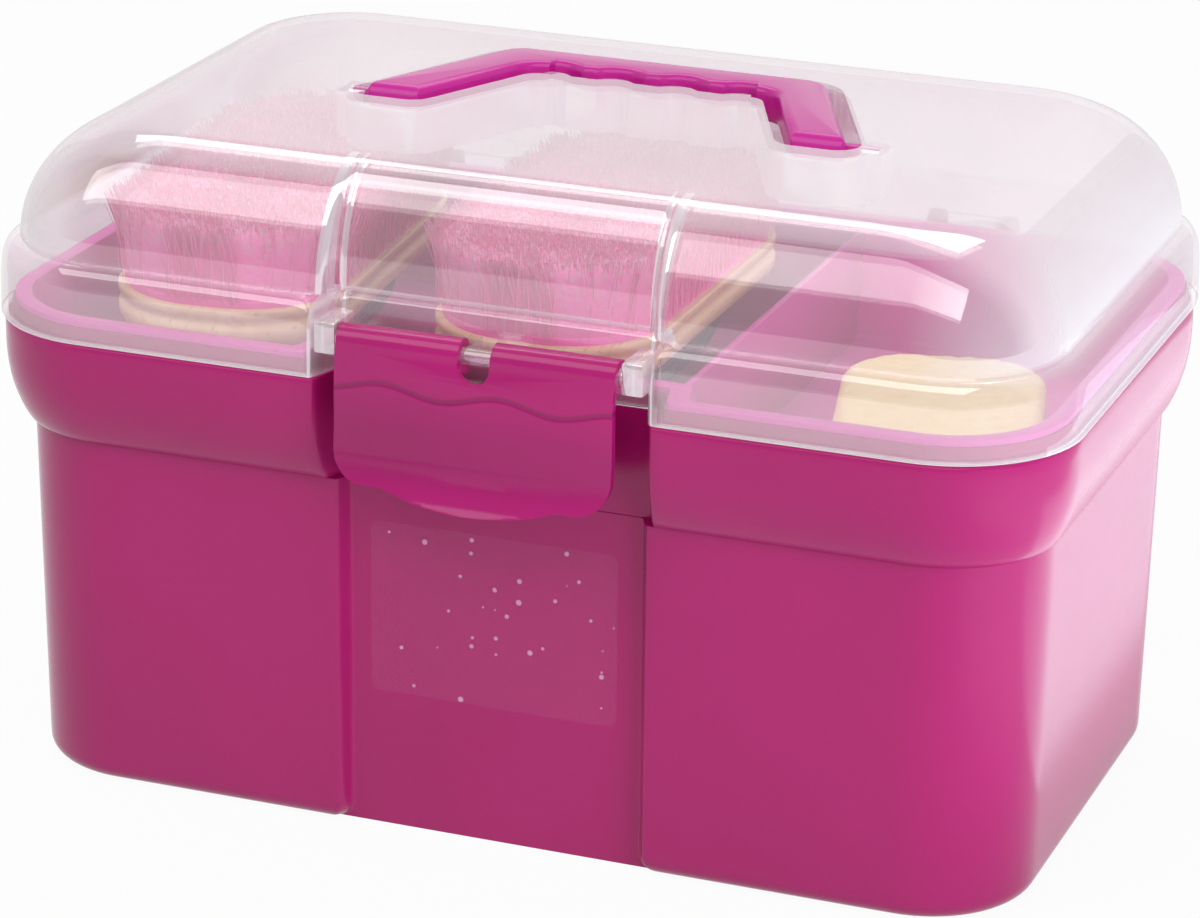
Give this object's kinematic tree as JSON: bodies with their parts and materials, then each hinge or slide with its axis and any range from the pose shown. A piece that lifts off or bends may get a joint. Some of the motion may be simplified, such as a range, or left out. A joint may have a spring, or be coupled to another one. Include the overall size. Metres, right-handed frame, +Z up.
{
  "type": "horse grooming box",
  "caption": "Plastic grooming box with a clear hinged lid, a folding carry handle, a swing clasp and a lift-out tray that holds brushes and a sponge.",
  "frame": {"origin": "on the table, under the middle of the tub", "axes": "+X to the right as seen from the clasp, +Y to the hinge at the back, +Z up"},
  "size_m": [0.3, 0.2023, 0.184],
  "materials": {
    "tub_plastic": "glossy magenta polypropylene",
    "lid_clear": "milky clear polypropylene",
    "trim_plastic": "glossy magenta polypropylene",
    "tray_plastic": "satin magenta polypropylene",
    "brush_wood": "lacquered beech",
    "strap_webbing": "woven webbing",
    "bristle": "pink synthetic bristle",
    "sponge_foam": "open-cell foam"
  },
  "bodies": {
    "tub": {"tub": "tub_plastic", "tray": "tray_plastic", "brush_a_back": "brush_wood", "brush_a_strap": "strap_webbing", "brush_a_bristles": "bristle", "brush_b_back": "brush_wood", "brush_b_strap": "strap_webbing", "brush_b_bristles": "bristle", "sponge": "sponge_foam"},
    "lid": {"lid": "lid_clear"},
    "handle": {"handle": "trim_plastic"},
    "clasp": {"clasp": "trim_plastic"}
  },
  "joints": [
    {"name": "lid_hinge", "type": "hinge", "parent": "tub", "child": "lid", "pos_m": [0, 0.0976, 0.131], "axis": [-1, 0, 0], "range_deg": [0, 105]},
    {"name": "clasp_swing", "type": "hinge", "parent": "lid", "child": "clasp", "pos_m": [0, -0.09, 0.1405], "axis": [-1, 0, 0], "range_deg": [0, 110]},
    {"name": "handle_fold", "type": "hinge", "parent": "lid", "child": "handle", "pos_m": [0, 0.002, 0.178], "axis": [1, 0, 0], "range_deg": [0, 90]}
  ]
}
